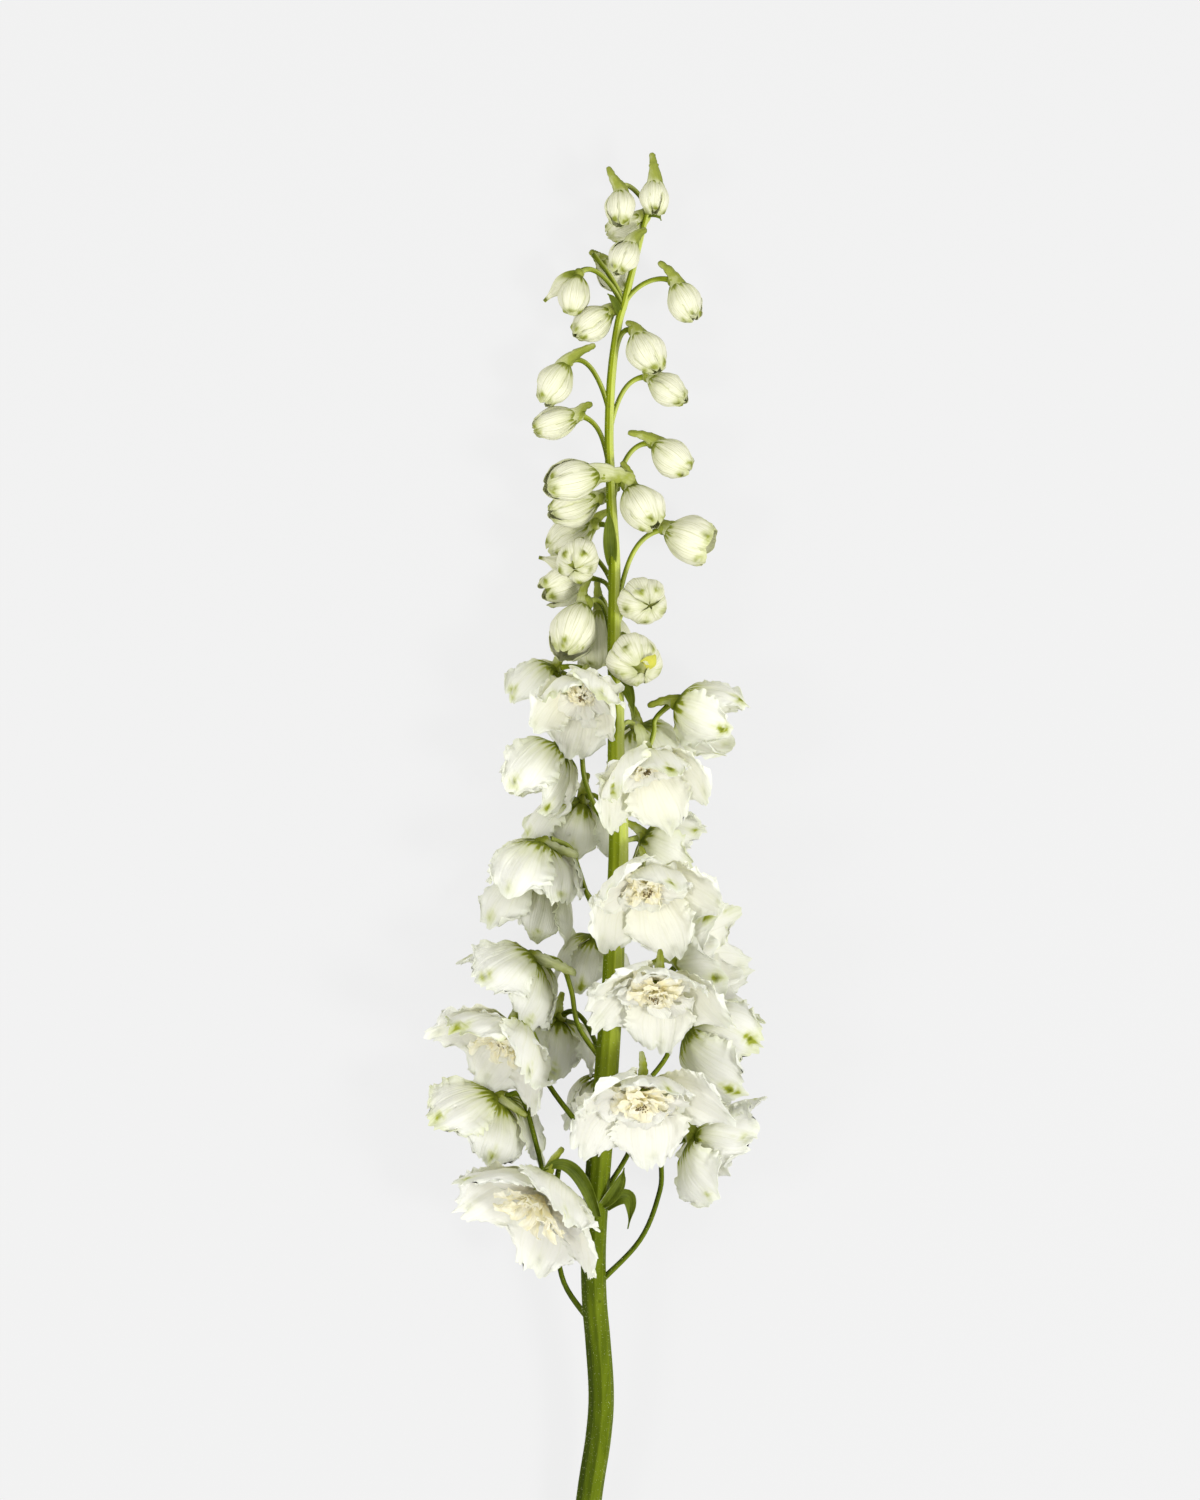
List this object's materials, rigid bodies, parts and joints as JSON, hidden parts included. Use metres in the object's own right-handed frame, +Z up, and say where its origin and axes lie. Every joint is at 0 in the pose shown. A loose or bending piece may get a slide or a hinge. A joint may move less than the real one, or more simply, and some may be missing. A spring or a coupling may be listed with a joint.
{
  "type": "delphinium flower spike",
  "caption": "Cut delphinium spike with buds at the tip and semi-double open blooms below, on one ribbed stem that lies on its side.",
  "frame": {"origin": "middle of the box round the spike, on the surface that it lies on", "axes": "+Y along the spike towards its tip, +Z up from the surface, +X to the right of the tip seen from above"},
  "size_m": [0.1124, 0.558, 0.0798],
  "materials": {
    "stem": "satin",
    "bud": "satin",
    "petal": "satin",
    "bee": "matt"
  },
  "bodies": {
    "root": {"stem": "stem", "bud_01": "bud", "bud_02": "bud", "bud_03": "bud", "bud_04": "bud", "bud_05": "bud", "bud_06": "bud", "bud_07": "bud", "bud_08": "bud", "bud_09": "bud", "bud_10": "bud", "bud_11": "bud", "bud_12": "bud", "bud_13": "bud", "bud_14": "bud", "bud_15": "bud", "bud_16": "bud", "bud_17": "bud", "bud_18": "bud", "bud_19": "bud", "bud_20": "bud", "bud_21": "bud", "bud_22": "bud", "bud_23": "bud", "bud_24": "bud", "bloom_25": "petal", "bloom_26": "petal", "bee_26": "bee", "bloom_27": "petal", "bloom_28": "petal", "bee_28": "bee", "bloom_29": "petal", "bloom_30": "petal", "bloom_31": "petal", "bloom_32": "petal", "bloom_33": "petal", "bloom_34": "petal", "bee_34": "bee", "bloom_35": "petal", "bloom_36": "petal", "bloom_37": "petal", "bee_37": "bee", "bloom_38": "petal", "bloom_39": "petal", "bloom_40": "petal", "bee_40": "bee", "bloom_41": "petal", "bloom_42": "petal", "bloom_43": "petal", "bee_43": "bee", "bloom_44": "petal", "bloom_45": "petal", "bee_45": "bee", "bloom_46": "petal", "bloom_47": "petal"}
  },
  "joints": []
}
